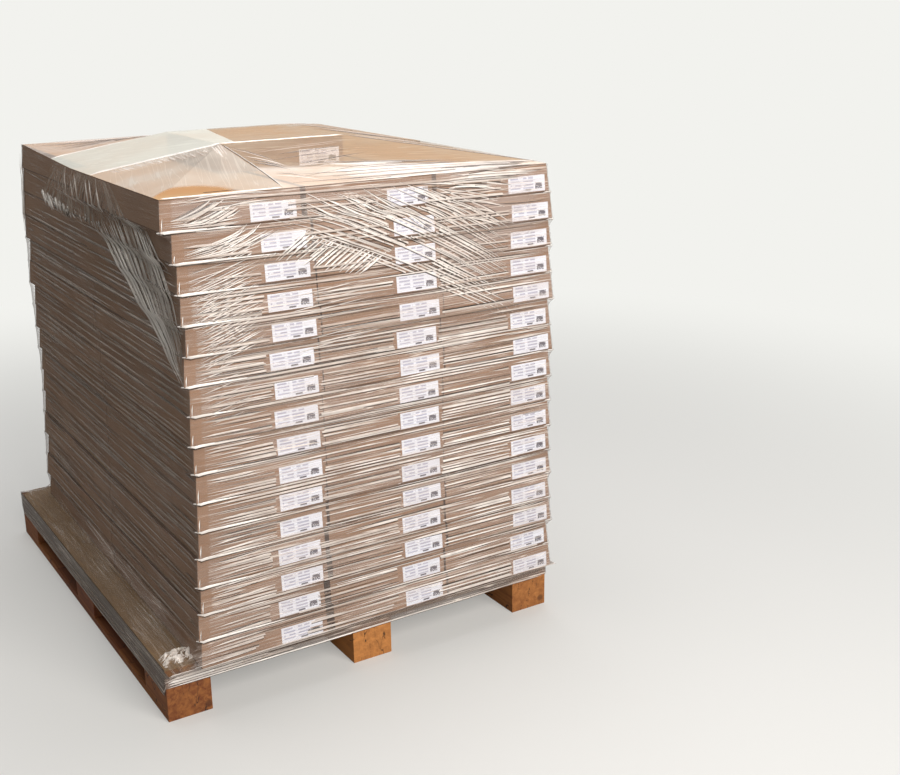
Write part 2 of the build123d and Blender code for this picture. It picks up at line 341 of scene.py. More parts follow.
def labelPaper():
    material = newMaterial("coatedLabelPaper")  # smooth white paper, faint grey ruled lines and a small code square
    uv = addNode(material, "ShaderNodeUVMap", {"uv_map": "UVMap"}).outputs[0]
    parts = addNode(material, "ShaderNodeSeparateXYZ", inputs={0: uv})
    u, v = parts.outputs[0], parts.outputs[1]

    def math(operation, a, b):
        return addNode(material, "ShaderNodeMath", {"operation": operation}, {0: a, 1: b}).outputs[0]

    def window(value, low, high):  # 1 between two places
        return math("MULTIPLY", math("GREATER_THAN", value, low), math("LESS_THAN", value, high))

    def specks(columns, rows, share):  # random cells, 1 in the given share of them
        cells = addNode(material, "ShaderNodeVectorMath", {"operation": "MULTIPLY"}, {0: uv, 1: (columns, rows, 1)})
        cell = addNode(material, "ShaderNodeVectorMath", {"operation": "FLOOR"}, {0: cells.outputs[0]})
        speck = addNode(material, "ShaderNodeTexWhiteNoise", {"noise_dimensions": "2D"}, {"Vector": cell.outputs[0]})
        return math("LESS_THAN", speck.outputs["Value"], share)

    rows = math("LESS_THAN", math("FRACT", math("MULTIPLY", v, 5.0), 0.0), 0.50)  # lines of small print
    block = math("MAXIMUM", window(u, 0.06, 0.33), window(u, 0.40, 0.68))
    words = math("MULTIPLY", math("MULTIPLY", rows, math("MULTIPLY", block, window(v, 0.22, 0.90))), specks(22, 5, 0.86))
    square = math("MULTIPLY", math("MULTIPLY", window(u, 0.73, 0.92), window(v, 0.16, 0.52)), specks(60, 30, 0.86))
    mark = math("MULTIPLY", window(u, 0.46, 0.62), window(v, 0.08, 0.18))
    faint = addNode(material, "ShaderNodeMix", {"data_type": "RGBA"},
                    {0: words, 6: linearColour("#eaecf4"), 7: linearColour("#b6b6c8")})
    printed = addNode(material, "ShaderNodeMix", {"data_type": "RGBA"},
                      {0: math("MAXIMUM", square, mark), 6: faint.outputs[2], 7: linearColour("#5c5964")})
    paper = addNode(material, "ShaderNodeBsdfPrincipled", inputs={"Base Color": printed.outputs[2], "Roughness": 0.45})
    return finishMaterial(material, paper.outputs[0])


def frontLabels():
    vertices, faces, uvs = [], [], []
    wide, tall = labels["width"], labels["height"]

    def addLabel(right, front, floor, lean):
        # a thin slip that follows the leaning wall of its carton
        slope = lean / cartonHeight
        start = len(vertices)
        for depth in (0.0, labels["thick"]):
            for x, z in ((right - wide, labels["rise"]), (right, labels["rise"]),
                         (right, labels["rise"] + tall), (right - wide, labels["rise"] + tall)):
                vertices.append((x, front + z * slope - 0.00005 - depth, floor + z))
        quads = [(4, 5, 6, 7), (3, 2, 1, 0), (0, 1, 5, 4), (1, 2, 6, 5), (2, 3, 7, 6), (3, 0, 4, 7)]
        faces.extend([tuple(start + corner for corner in quad) for quad in quads])
        plain = [(0.02, 0.02)] * 4
        uvs.extend([(0, 0), (1, 0), (1, 1), (0, 1)] + plain * 5)

    places = labelPlaces()
    for right, front, floor, lean in places:
        addLabel(right, front, floor, lean)
    mesh = bpy.data.meshes.new("cartonLabels")
    mesh.from_pydata(vertices, [], faces)
    layer = mesh.uv_layers.new(name="UVMap")
    layer.data.foreach_set("uv", np.array(uvs, dtype=np.float32).reshape(-1))
    mesh.materials.append(labelPaper())
    piece = bpy.data.objects.new("cartonLabels", mesh)
    bpy.context.collection.objects.link(piece)
    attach(piece, "root")
    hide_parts("carton_labels")


def labelPlaces():
    # right edge, front and floor of each label, read from the CAD labels' own solids
    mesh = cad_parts["carton_labels"].data
    points = np.array([vertex.co[:] for vertex in mesh.vertices])
    places = []
    rows = [(stackFloor + layer * cartonHeight, wallLean) for layer in range(layerCount)] + [(stackTop, 0.0)]
    for floor, lean in rows:
        inLayer = points[(points[:, 2] > floor + 0.001) & (points[:, 2] < floor + 0.060)]
        edges = np.unique(np.round(inLayer[:, 0], 4))
        rights = [x for x in edges if np.any(np.abs(edges - (x - labels["width"])) < 0.0006)]
        for right in rights:
            own = inLayer[np.abs(inLayer[:, 0] - right) < 0.0006]
            low = own[np.argmax(own[:, 1] - own[:, 2] * 0)]
            bottom = own[own[:, 2] < own[:, 2].min() + 0.001]
            front = bottom[:, 1].max() - labels["rise"] * lean / cartonHeight
            if not any(abs(right - place[0]) < 0.002 and place[2] == floor for place in places):
                places.append((right, front, floor, lean))
    return places


frontLabels()
print("labels made")


# ---- stretch film round the sides

film = {
    "clear": 0.0009,       # space between the film and what it wraps
    "tipAtCorner": 0.0042,   # how far the film stands off at a joint on a corner
    "hemFront": 0.080, "hemSide": 0.064,
    "footRise": {"left": 0.064, "right": 0.012, "back": 0.020, "rearLeft": 0.03},
    "pleat": 0.0007,
}


def calc(material, operation, a, b=0.0, c=None, clamp=False):
    values = {0: a, 1: b} if c is None else {0: a, 1: b, 2: c}
    return addNode(material, "ShaderNodeMath", {"operation": operation, "use_clamp": clamp}, values).outputs[0]


def ramp(material, value, start, end, low=0.0, high=1.0):
    return addNode(material, "ShaderNodeMapRange", {"interpolation_type": "SMOOTHSTEP"},
                   {"Value": value, "From Min": start, "From Max": end, "To Min": low, "To Max": high}).outputs[0]


def mixValue(material, part, low, high):
    return addNode(material, "ShaderNodeMix", {"data_type": "FLOAT"}, {0: part, 2: low, 3: high}).outputs[0]


def mixColour(material, part, low, high):
    return addNode(material, "ShaderNodeMix", {"data_type": "RGBA"}, {0: part, 6: low, 7: high}).outputs[2]


def cloudNoise(material, uv, scale, seed, detail=2.0):
    moved = addNode(material, "ShaderNodeMapping", inputs={"Vector": uv, "Scale": (scale[0], scale[1], 1), "Location": (seed, seed, 0)})
    return addNode(material, "ShaderNodeTexNoise", {"noise_dimensions": "2D"},
                   {"Vector": moved.outputs[0], "Scale": 1.0, "Detail": detail}).outputs["Fac"]


def pullLines(material, uv, angle, along, across, seed, width):
    # hairlines in the film along the pull: where noise drawn out along it crosses its middle value
    turned = addNode(material, "ShaderNodeMapping", inputs={"Vector": uv, "Rotation": (0, 0, radians(angle)), "Location": (seed, seed * 0.7, 0)})
    drawn = addNode(material, "ShaderNodeMapping", inputs={"Vector": turned.outputs[0], "Scale": (along, across, 1)})
    noise = addNode(material, "ShaderNodeTexNoise", {"noise_dimensions": "2D"},
                    {"Vector": drawn.outputs[0], "Scale": 1.0, "Detail": 1.0, "Roughness": 0.5}).outputs["Fac"]
    away = calc(material, "ABSOLUTE", calc(material, "SUBTRACT", noise, 0.5))
    return ramp(material, away, width, width * 0.3), noise


def filmShader(material, colour, alpha, roughness=0.28, normal=None, gloss=0.5):
    # the white of the film is scattered light: it hides what is behind it but casts little shadow
    shadow = addNode(material, "ShaderNodeLightPath").outputs["Is Shadow Ray"]
    alpha = calc(material, "MULTIPLY", alpha, calc(material, "MULTIPLY_ADD", shadow, -0.8, 1.0), clamp=True)
    inputs = {"Base Color": colour, "Roughness": roughness, "IOR": 1.5, "Specular IOR Level": gloss, "Alpha": alpha}
    if normal:
        inputs["Normal"] = normal
    return finishMaterial(material, addNode(material, "ShaderNodeBsdfPrincipled", inputs=inputs).outputs[0])


def sideFilmMaterial():
    material = newMaterial("stretchFilmWound")  # many clear plies: a thin haze over the board, with hairlines along the pull
    uv = addNode(material, "ShaderNodeUVMap", {"uv_map": "UVMap"}).outputs[0]
    parts = addNode(material, "ShaderNodeSeparateXYZ", inputs={0: uv})
    u, v = parts.outputs[0], parts.outputs[1]
    level, folds = pullLines(material, uv, 0.6, 2.0, 150.0, 3.1, 0.022)
    slanted, otherFolds = pullLines(material, uv, -1.2, 2.4, 190.0, 7.7, 0.020)
    lines = calc(material, "MAXIMUM", level, calc(material, "MULTIPLY", slanted, 0.7))
    glare = ramp(material, cloudNoise(material, uv, (3.5, 9), 6.6), 0.36, 0.64)
    front = ramp(material, u, 0.93, 0.90)  # the front has the most plies, the other sides are clearer
    haze = mixValue(material, glare, 0.16, 0.30)
    doubled = calc(material, "MULTIPLY", calc(material, "MULTIPLY", ramp(material, u, 0.56, 0.66), ramp(material, u, 0.88, 0.83)), ramp(material, v, 0.80, 0.90))
    haze = calc(material, "MULTIPLY_ADD", doubled, 0.18, haze)  # two more plies from the pass over the top
    alpha = calc(material, "MULTIPLY_ADD", lines, mixValue(material, glare, 0.22, 0.50), haze)
    gaps = calc(material, "MULTIPLY", ramp(material, otherFolds, 0.40, 0.34), 0.7)
    alpha = calc(material, "MULTIPLY", alpha, calc(material, "SUBTRACT", 1.0, gaps))
    layerPart = calc(material, "PINGPONG", calc(material, "DIVIDE", calc(material, "SUBTRACT", v, stackFloor), cartonHeight), 0.5)
    # the film is clearer at each joint, so that the painted joint shade on the board shows through
    alpha = calc(material, "MULTIPLY", alpha, ramp(material, layerPart, 0.01, 0.05, 0.35, 1.0))
    corner = calc(material, "ABSOLUTE", calc(material, "SUBTRACT", u, 0.012))
    alpha = calc(material, "MULTIPLY", alpha, ramp(material, corner, 0.008, 0.016, 0.45, 1.0))
    alpha = calc(material, "MULTIPLY", alpha, mixValue(material, front, 0.42, 1.0), clamp=True)
    middle = layerWall(7, 0.5)
    rearLeft = calc(material, "ABSOLUTE", calc(material, "SUBTRACT", u, float(2 * (middle[1] - middle[0]) + middle[3] - middle[2])))
    alpha = calc(material, "MAXIMUM", alpha, ramp(material, rearLeft, 0.003, 0.012, 0.50, 0.0))  # stretched white over the rear left corner
    hem = ramp(material, v, stackFloor + 0.001, stackFloor - 0.004)  # gathered plies round the deck
    alpha = mixValue(material, hem, alpha, calc(material, "MULTIPLY_ADD", lines, 0.20, 0.74))
    colour = mixColour(material, lines, mixColour(material, hem, linearColour("#bfb3ad"), linearColour("#7d7068")), linearColour("#f6ebe0"))
    bump = addNode(material, "ShaderNodeBump", inputs={"Strength": 0.6, "Distance": 0.001, "Height": folds})
    return filmShader(material, colour, alpha, 0.28, bump.outputs[0])


def sideColumns():
    # place on each side from 0 to 1 in x and y, and which way is out; closer together near the corners
    def spread(count):
        even = np.linspace(0, 1, count)
        return even - 0.06 * np.sin(2 * np.pi * even)
    counts = {"front": 104, "right": 56, "back": 52, "left": 76}
    columns = []
    for part in spread(counts["front"])[:-1]:
        columns.append((part, 0.0, 0, -1, "front"))
    for part in spread(counts["right"])[:-1]:
        columns.append((1.0, part, 1, 0, "right"))
    for part in spread(counts["back"])[:-1]:
        columns.append((1 - part, 1.0, 0, 1, "back"))
    for part in spread(counts["left"])[:-1]:
        columns.append((0.0, 1 - part, -1, 0, "left"))
    columns.append(columns[0])
    return columns


def rowSides(layer):
    # left and right of the front row and of the rear row, from the layer's own solids
    points = np.array([vertex.co[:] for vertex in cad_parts["carton_layer_%02d" % (layer + 1)].data.vertices])
    middle = (points[:, 1].min() + points[:, 1].max()) / 2
    fore, aft = points[points[:, 1] < middle - 0.02], points[points[:, 1] > middle + 0.02]
    return fore[:, 0].min(), fore[:, 0].max(), aft[:, 0].min(), aft[:, 0].max()


layerSides = [rowSides(layer) for layer in range(layerCount)]
outward = np.array([-1, 1, -1, 1, -1, 1])


def layerWall(layer, part):
    # a layer's walls at a height from 0 to 1: left, right, front, back, then left and right of the rear row
    low, high = layerBoxes[layer]
    inward = wallLean * part
    sides = layerSides[layer]
    return np.array([sides[0] + inward, sides[1] - inward, low[1] + inward, high[1] - inward,
                     sides[2] + inward, sides[3] - inward])


def outer(a, b):
    return outward * np.maximum(outward * a, outward * b)


def blend(a, b, part):
    return a + (b - a) * part


def sideRows():
    # height, outline and layer part of every row, from the hem up
    half = [sheetBox[0][0], sheetBox[1][0], sheetBox[0][1], sheetBox[1][1], sheetBox[0][0], sheetBox[1][0]]
    pallet = np.array(half) + outward * 0.0016
    floorWall = layerWall(0, 0) + outward * film["clear"]
    rows = []
    overSheet = outer(pallet, floorWall)
    for part in np.linspace(0, 1, 9):
        # hem up to the edge of the deck
        rows.append((blend(film["hemSide"], 0.108, part), pallet, "hem", part))
    for part in np.linspace(0.15, 1, 7):
        rows.append((blend(0.108, stackFloor + 0.0006, part), blend(pallet, overSheet, part), "tuck", part))
    steps = [0.0, 0.02, 0.05, 0.1, 0.16, 0.22, 0.28, 0.34, 0.40, 0.46, 0.52, 0.58, 0.64, 0.70, 0.76, 0.82, 0.87, 0.91, 0.95, 0.98]
    for layer in range(layerCount):
        above = layerWall(min(layer + 1, layerCount - 1), 0.0 if layer < layerCount - 1 else 1.0)
        joint = outer(above, layerWall(layer, 1.0))
        for step in steps + ([1.0] if layer == layerCount - 1 else []):
            wall = layerWall(layer, step)
            flare = float(smoothStep(step, 0.62, 1.0)) ** 1.6
            line = blend(wall, outer(joint, wall), flare) + outward * film["clear"]
            height = stackFloor + (layer + step) * cartonHeight
            rows.append((height, line, "wall", step))
    footed = []
    for height, line, kind, part in rows:
        if kind == "wall":
            line = line.copy()
            for index, side, sign in ((0, "left", -1), (1, "right", 1), (3, "back", 1), (4, "rearLeft", -1), (5, "right", 1)):
                up = (height - stackFloor) / film["footRise"][side]
                if up < 1:
                    foot = blend(overSheet[index], layerWall(0, 1.0)[index], up ** 0.8)
                    line[index] = sign * max(sign * line[index], sign * foot)
        footed.append((height, line, kind, part))
    # at the rear left corner the film is drawn straight over the steps between the layers
    walls = [row for row in footed if row[2] == "wall" and row[0] > stackFloor + film["footRise"]["rearLeft"]]
    heights = np.array([row[0] for row in walls])
    reach = np.array([row[1][4] for row in walls])
    even = np.linspace(heights[0], heights[-1], 400)
    held = np.interp(even, heights, reach)
    span = held.copy()
    for _ in range(1500):
        span[1:-1] = np.minimum(held[1:-1], (span[:-2] + span[2:]) / 2)
    for row, x in zip(walls, np.interp(heights, even, span)):
        row[1][4] = min(row[1][4], x)
    return footed


def sideX(y, line, foreIndex, aftIndex):
    # the film runs straight from the front corner to the rear one, but always outside both rows
    fore, aft, sign = line[foreIndex], line[aftIndex], outward[foreIndex]
    front, back = line[2], line[3]
    middle = (front + back) / 2
    if sign * fore >= sign * aft:
        return blend(fore, aft, np.clip((y - middle) / (back - middle), 0, 1))
    return blend(fore, aft, np.clip((y - front) / (middle - front), 0, 1))


wound = {}  # the side film's own points, which its creases lie on


def sideFilm():
    rows, columns = sideRows(), sideColumns()
    points = np.zeros((len(rows), len(columns), 3))
    uv = np.zeros((len(rows), len(columns), 2))
    fx = np.array([column[0] for column in columns])
    fy = np.array([column[1] for column in columns])
    nx = np.array([column[2] for column in columns], dtype=float)
    ny = np.array([column[3] for column in columns], dtype=float)
    corner = np.minimum(np.minimum(np.abs(fx - np.round(fx)) * 0.9 + np.abs(fy - np.round(fy)) * 1.2, 1), 1)
    middle = layerWall(7, 0.5)
    px = middle[0] + fx * (middle[1] - middle[0])
    py = middle[2] + fy * (middle[3] - middle[2])
    along = np.concatenate([[0], np.cumsum(np.hypot(np.diff(px), np.diff(py)))])
    corners = np.isin(np.round(fx, 6), (0.0, 1.0)) & np.isin(np.round(fy, 6), (0.0, 1.0))
    nx[corners] = np.where(fx[corners] < 0.5, -1, 1)
    ny[corners] = np.where(fy[corners] < 0.5, -1, 1)
    for index, (height, line, kind, part) in enumerate(rows):
        y = line[2] + fy * (line[3] - line[2])
        x = sideX(y, line, 0, 4) * (1 - fx) + sideX(y, line, 1, 5) * fx
        out = np.zeros(len(columns))
        if kind == "wall":
            near = np.exp(-(corner / 0.012) ** 2)
            atJoint = np.exp(-((min(part, 1 - part)) / 0.07) ** 2)
            out += film["tipAtCorner"] * near * atJoint * np.where(fy < 0.5, np.where(fx < 0.5, 1.0, 0.4), 0.25)
            level = gridNoise(along * 5 + height * 9, np.full_like(along, height * 150), 2.0)
            slanted = gridNoise(along * 6, (height + along * 0.05) * 95, 5.0)
            out += film["pleat"] * (0.5 + 0.5 * (level * 0.6 + slanted * 0.4))
        if kind == "hem":
            height = np.where(np.abs(ny) > 0, blend(film["hemFront"], 0.108, part), height)
            out += 0.0012 * (1 - part) * gridNoise(along * 14, np.full_like(along, 0.5), 3.0)
            height = height + (1 - part) * 0.004 * gridNoise(along * 9, np.full_like(along, 0.5), 4.0)
        points[index, :, 0] = x + nx * out
        points[index, :, 1] = y + ny * out
        points[index, :, 2] = height
        uv[index, :, 0] = along
        uv[index, :, 1] = np.mean(height)
    piece = gridMesh("sideFilmWound", points, uv, closed=True, material=sideFilmMaterial())
    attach(piece, "root")
    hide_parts("side_film")
    first = next(index for index, row in enumerate(rows) if row[2] == "wall")
    wound.update(points=points[first:], heights=points[first:, 5, 2], along=along, box=middle)
    print("side film", len(piece.data.polygons), "faces")


sideFilm()


# ---- creases of the film: narrow raised folds that lie on it

def creaseMaterial():
    material = newMaterial("stretchFilmFolded")  # film folded on itself, whiter than one ply, with painted light: a cream white painted highlight on the upper flank and a dull brown painted shade on the lower one
    uv = addNode(material, "ShaderNodeUVMap", {"uv_map": "UVMap"}).outputs[0]
    parts = addNode(material, "ShaderNodeSeparateXYZ", inputs={0: uv})
    tone, across = parts.outputs[0], parts.outputs[1]
    place = addNode(material, "ShaderNodeTexCoord").outputs["Object"]
    # painted glare: the creases are brighter in some stretches than in others
    patches = addNode(material, "ShaderNodeTexNoise", inputs={"Vector": place, "Scale": 16.0, "Detail": 2.0}).outputs["Fac"]
    patches = ramp(material, patches, 0.38, 0.60)
    paintedFlankLight = ramp(material, across, 0.36, 0.47)
    light = mixColour(material, tone, linearColour("#9c8069"), linearColour("#fffaf4"))
    colour = mixColour(material, paintedFlankLight, linearColour("#34251b"), light)
    bright = calc(material, "MULTIPLY", mixValue(material, patches, 0.72, 1.0), mixValue(material, tone, 0.55, 1.0))
    alpha = mixValue(material, paintedFlankLight, calc(material, "MULTIPLY", bright, 0.90), bright)
    return filmShader(material, colour, alpha, 0.25)


foldedFilm = creaseMaterial()


def newFolds():
    return {"vertices": [], "faces": [], "uvs": [], "count": 0}


def addFold(folds, path, out, width, tone, taper=0.15, hide=None, flip=False):
    # one crease: a low ridge three points wide along a path, thin at both ends, or at the far end alone (taper 0)
    count = len(path)
    along = np.gradient(path, axis=0)
    across = np.cross(out, along)
    across /= np.linalg.norm(across, axis=1)[:, None] + 1e-9
    share = np.linspace(0, 1, count)
    slim = np.clip(np.minimum(share, 1 - share) / taper, 0.12, 1) if taper else np.clip(share * 12, 0.3, 1) * (1 - share) ** 0.8 + 0.1
    half = (width / 2 * slim)[:, None]
    lower = path - across * half + out * 0.0003
    crest = path + out * (0.0005 + half * 0.45)
    upper = path + across * half + out * 0.0003
    rows = np.arange(count - 1)
    if hide is not None:
        rows = rows[~(hide[:-1] | hide[1:])]
    start = folds["count"] + rows * 3
    folds["vertices"].append(np.stack([lower, crest, upper], axis=1).reshape(-1, 3))
    for step in (0, 1):
        folds["faces"].append(np.stack([start + step, start + step + 3, start + step + 4, start + step + 1], axis=1))
        ends = (step / 2, (step + 1) / 2)
        first, second = (1 - ends[0], 1 - ends[1]) if flip else ends
        folds["uvs"].append(np.tile([[tone, first], [tone, first], [tone, second], [tone, second]], (len(rows), 1)))
    folds["count"] += count * 3


def foldsPiece(name, folds):
    mesh = bpy.data.meshes.new(name)
    mesh.from_pydata(np.concatenate(folds["vertices"]).tolist(), [], np.concatenate(folds["faces"]).tolist())
    layer = mesh.uv_layers.new(name="UVMap")
    layer.data.foreach_set("uv", np.concatenate(folds["uvs"]).astype(np.float32).reshape(-1))
    mesh.polygons.foreach_set("use_smooth", np.ones(len(mesh.polygons), dtype=bool))
    mesh.materials.append(foldedFilm)
    piece = bpy.data.objects.new(name, mesh)
    bpy.context.collection.objects.link(piece)
    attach(piece, "root")
    print(name, len(mesh.polygons), "faces")


def roundPlace(side, place):
    # metres round the load from the front left corner, for an x on the front or back and a y on the sides
    left, right, front, back = wound["box"][:4]
    wide, deep = right - left, back - front
    return {"front": place - left, "right": wide + place - front,
            "back": wide + deep + right - place, "left": 2 * wide + 2 * deep - (place - front)}[side]


def onSides(around, height):
    # points of the film, and the way out of it, at places round the load and heights
    points, along, heights = wound["points"], wound["along"], wound["heights"]
    around = np.mod(around, along[-1])
    column = np.clip(np.searchsorted(along, around) - 1, 0, len(along) - 2)
    row = np.clip(np.searchsorted(heights, height) - 1, 0, len(heights) - 2)
    a = ((around - along[column]) / (along[column + 1] - along[column]))[:, None]
    b = np.clip((height - heights[row]) / (heights[row + 1] - heights[row]), 0, 1)[:, None]
    low = blend(points[row, column], points[row, column + 1], a)
    high = blend(points[row + 1, column], points[row + 1, column + 1], a)
    step = points[row, column + 1] - points[row, column]
    out = np.stack([step[:, 1], -step[:, 0], np.zeros(len(row))], axis=1)
    return blend(low, high, b), out / np.linalg.norm(out, axis=1)[:, None]


labelSpots = labelPlaces()


def overLabel(around, height):
    x = around + wound["box"][0]
    hidden = np.zeros(len(x), dtype=bool)
    for right, front, floor, lean in labelSpots[:layerCount * 3]:
        hidden |= (x > right - labels["width"] - 0.003) & (x < right + 0.003) & \
                  (height > floor + labels["rise"] - 0.001) & (height < floor + labels["rise"] + labels["height"] + 0.001)
    return hidden


def sideFold(folds, start, end, width, tone, bend=0.0, taper=0.15, clearOfLabels=False, flip=False, step=0.014):
    # a crease between two places (metres round, height) on the sides
    start, end = np.array(start, dtype=float), np.array(end, dtype=float)
    reach = np.hypot(*(end - start))
    share = np.linspace(0, 1, max(5, int(reach / step)))
    line = start + (end - start) * share[:, None]
    line[:, 1] += bend * 4 * share * (1 - share)
    line[:, 1] = np.clip(line[:, 1], stackFloor + 0.001, stackTop - 0.0005)
    path, out = onSides(line[:, 0], line[:, 1])
    hide = overLabel(line[:, 0], line[:, 1]) if clearOfLabels else None
    addFold(folds, path, out, width, tone, taper, hide, flip)


def levelFolds(folds, side, pitch, strength, seed, low=0.0, high=1.0, tilt=0.0):
    # the long creases of the winding, one below the other, broken here and there
    random = np.random.default_rng(seed)
    left, right, front, back = wound["box"][:4]
    begin = roundPlace(side, {"front": left, "right": front, "back": right, "left": back}[side])
    length = right - left if side in ("front", "back") else back - front
    height = blend(stackFloor, stackTop, low) + 0.004
    top = blend(stackFloor, stackTop, high)
    while height < top:
        place = -random.uniform(0, 0.35)
        while place < length:
            run = random.uniform(0.20, 0.85)
            first, last = max(place, 0.024), min(place + run, length - 0.004)
            if last - first > 0.05:
                lift = random.normal(tilt, 0.0035) * (last - first)
                middle = height + random.uniform(-0.3, 0.3) * pitch
                glare = 0.86 + 0.14 * np.sin(first * 7 + height * 5 + seed) ** 2
                rich = strength * glare * (random.uniform(0.85, 1.0) if random.random() < 0.80 else random.uniform(0.10, 0.50))
                rich *= blend(0.72, 1.0, smoothStep(first, 0.05, 0.30)) * blend(1.0, 0.80, smoothStep(first, 0.55, 0.70)) if side == "front" else 1.0
                sideFold(folds, (begin + first, middle - lift / 2), (begin + last, middle + lift / 2),
                         random.uniform(0.0042, 0.0082), rich, random.normal(0, 0.0012), 0.25,
                         side == "front", random.random() < 0.25, 0.007 if side == "front" else 0.022)
            place += run + random.uniform(0.0, 0.10)
        height += pitch * random.uniform(0.6, 1.4)


def foldBundle(folds, side, starts, ends, count, width, tone, seed, bend=0.0, trim=0.25, clearOfLabels=False, stray=1.0):
    # creases side by side: from the line between two starts to the line between two ends, as (place, height)
    random = np.random.default_rng(seed)
    starts, ends = np.array(starts), np.array(ends)
    for index in range(count):
        part = np.clip((index + stray * random.uniform(-0.45, 0.45)) / max(count - 1, 1), 0, 1)
        first, last = blend(starts[0], starts[1], part), blend(ends[0], ends[1], part)
        a = blend(first, last, random.uniform(0, trim)) + random.normal(0, 0.003 * stray, 2)
        b = blend(first, last, 1 - random.uniform(0, trim)) + random.normal(0, 0.004 * stray, 2)
        a, b = (roundPlace(side, a[0]), a[1]), (roundPlace(side, b[0]), b[1])
        sideFold(folds, a, b, width * (1 + stray * random.uniform(-0.5, 0.35)), tone * (1 - stray * random.uniform(0.0, 0.45)),
                 bend + random.normal(0, 0.0018 * stray), 0.25,
                 clearOfLabels and random.random() < 0.7, random.random() < 0.5 * stray)


def jointFolds(folds, side, strength, seed):
    # the film turns over the top edge of each carton: a painted highlight along it, a bright line that is widest at the
    # corner
    random = np.random.default_rng(seed)
    left, right, front, back = wound["box"][:4]
    begin = roundPlace(side, {"front": left, "right": front, "back": right, "left": back}[side])
    length = right - left if side in ("front", "back") else back - front
    for layer in range(1, layerCount):
        height = stackFloor + layer * cartonHeight - 0.0024
        if side == "front":
            sideFold(folds, (begin - 0.009, height + 0.0016), (begin + random.uniform(0.10, 0.22), height), 0.0088, strength, 0.0, 0)
        place = 0.01
        while place < length:
            run = random.uniform(0.10, 0.4)
            bright = strength * random.uniform(0.35, 0.95)
            sideFold(folds, (begin + place, height), (begin + min(place + run, length), height), 0.0034, bright, 0.0, 0.3,
                     side == "front", True, 0.03)
            place += run + random.uniform(-0.02, 0.10)
        if side == "front":
            # a short painted glint that stands up from each joint at the front left corner
            sideFold(folds, (begin + 0.004, height + 0.006), (begin + 0.005, height + random.uniform(0.018, 0.032)),
                     0.0034, strength, 0.0, 0.4, step=0.004)
            sideFold(folds, (begin + length - 0.02, height + 0.001), (begin + length + 0.001, height + 0.002), 0.004, strength * 0.8, 0.0, 0.35)


front = newFolds()
levelFolds(front, "front", 0.0072, 1.0, 11, 0.0, 0.66, 0.002)
levelFolds(front, "front", 0.0080, 0.95, 12, 0.62, 0.80, 0.005)
levelFolds(front, "front", 0.0150, 0.75, 13, 0.80, 0.99, -0.01)
foldBundle(front, "front", ((-0.395, 0.400), (-0.375, 0.134)), ((-0.240, 0.408), (-0.236, 0.140)), 15, 0.0050, 0.90, 15, 0.0, 0.06, True, 0.5)
jointFolds(front, "front", 1.0, 14)
# drawn down to the right across the two right columns, near the top
foldBundle(front, "front", ((-0.225, 1.056), (-0.151, 1.096)), ((0.379, 0.769), (0.378, 0.824)), 9, 0.0064, 0.92, 21, 0.012, 0.12, True, 0.45)
foldBundle(front, "front", ((-0.151, 1.096), (-0.015, 1.112)), ((0.378, 0.824), (0.378, 0.893)), 12, 0.0060, 0.86, 22, 0.010, 0.12, True, 0.45)
foldBundle(front, "front", ((-0.015, 1.112), (0.153, 1.110)), ((0.378, 0.893), (0.376, 0.990)), 11, 0.0056, 0.80, 23, 0.006, 0.12, True, 0.45)
foldBundle(front, "front", ((-0.060, 1.114), (0.120, 1.114)), ((0.120, 0.985), (0.300, 0.985)), 9, 0.0050, 1.0, 24, 0.004, 0.30, True, 0.7)
foldBundle(front, "front", ((-0.160, 1.116), (0.100, 1.117)), ((0.000, 1.010), (0.330, 1.010)), 10, 0.0054, 1.0, 28, 0.004, 0.25, True, 0.6)
foldBundle(front, "front", ((0.140, 1.108), (0.200, 1.030)), ((0.372, 1.066), (0.376, 0.985)), 9, 0.0050, 0.82, 25, 0.004, 0.25, stray=0.6)
foldBundle(front, "front", ((0.160, 1.116), (0.200, 1.090)), ((0.475, 1.114), (0.376, 1.075)), 16, 0.0060, 1.0, 26, 0.002, 0.3)
foldBundle(front, "front", ((0.176, 0.905), (0.180, 0.960)), ((0.367, 0.930), (0.367, 0.985)), 6, 0.0026, 0.55, 27)
# short ones that rise to the right below them
foldBundle(front, "front", ((-0.240, 0.988), (-0.020, 0.925)), ((-0.150, 1.046), (0.052, 0.968)), 22, 0.0064, 1.0, 31, 0.0, 0.06, True, 0.3)
foldBundle(front, "front", ((-0.350, 1.000), (-0.285, 0.986)), ((-0.225, 1.062), (-0.150, 1.030)), 10, 0.0046, 0.95, 32, 0.0, 0.12, True, 0.4)
# fans that start at the tips on the left corner
foldBundle(front, "front", ((-0.396, 1.012), (-0.360, 1.000)), ((-0.225, 1.064), (-0.232, 1.018)), 12, 0.0042, 0.95, 41, -0.003, 0.12, stray=0.6)
foldBundle(front, "front", ((-0.405, 1.072), (-0.325, 1.062)), ((-0.300, 1.116), (-0.236, 1.096)), 15, 0.0072, 1.0, 42, -0.003, 0.25)
foldBundle(front, "front", ((-0.400, 1.075), (-0.395, 1.062)), ((-0.250, 1.080), (-0.236, 1.058)), 5, 0.0042, 1.0, 43, -0.006, 0.2)
foldBundle(front, "front", ((-0.395, 1.118), (-0.400, 1.085)), ((-0.180, 1.118), (-0.170, 1.100)), 8, 0.0030, 0.8, 44, 0.003, 0.3)
foldBundle(front, "front", ((-0.395, 0.945), (-0.385, 0.770)), ((-0.236, 0.998), (-0.236, 0.825)), 30, 0.0036, 0.85, 45, 0.0, 0.12, True, 0.4)
foldBundle(front, "front", ((-0.398, 0.968), (-0.380, 0.660)), ((-0.285, 0.990), (-0.270, 0.685)), 24, 0.0034, 0.75, 48, 0.0, 0.12, True, 0.5)
